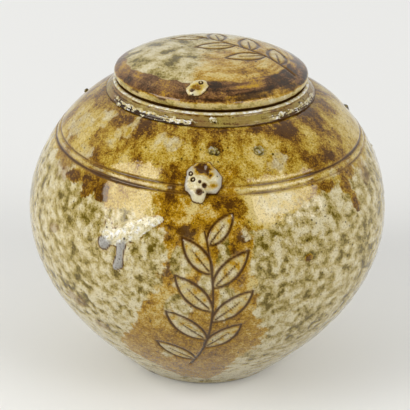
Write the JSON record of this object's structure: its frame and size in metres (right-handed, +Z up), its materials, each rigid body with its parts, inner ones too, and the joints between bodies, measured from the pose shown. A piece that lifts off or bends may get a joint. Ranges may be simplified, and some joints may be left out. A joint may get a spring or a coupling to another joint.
{
  "type": "lidded jar",
  "caption": "Nearly round thrown stoneware jar on a small foot, with turned shoulder lines, a low collar, a pressed pad and a lift-off domed lid.",
  "frame": {"origin": "centre of the foot ring, on the surface that the jar stands on", "axes": "+Z up through the lid; the front, with the pressed pad, looks along -Y; +X to the right of the front"},
  "size_m": [0.18, 0.18, 0.1647],
  "materials": {
    "jar_glaze": "gloss",
    "collar_glaze": "gloss",
    "pad_glaze": "gloss",
    "lid_glaze": "gloss",
    "lid_pad_glaze": "gloss",
    "bare_clay": "matte"
  },
  "bodies": {
    "jar": {"jar_body": "jar_glaze", "neck_ring": "collar_glaze", "front_prunt": "pad_glaze"},
    "lid": {"lid": "lid_glaze", "lid_flange": "bare_clay", "lid_prunt": "lid_pad_glaze"}
  },
  "joints": [
    {"name": "lid_lift", "type": "slide", "parent": "jar", "child": "lid", "axis": [0, 0, 1], "range_m": [0, 0.1]}
  ]
}
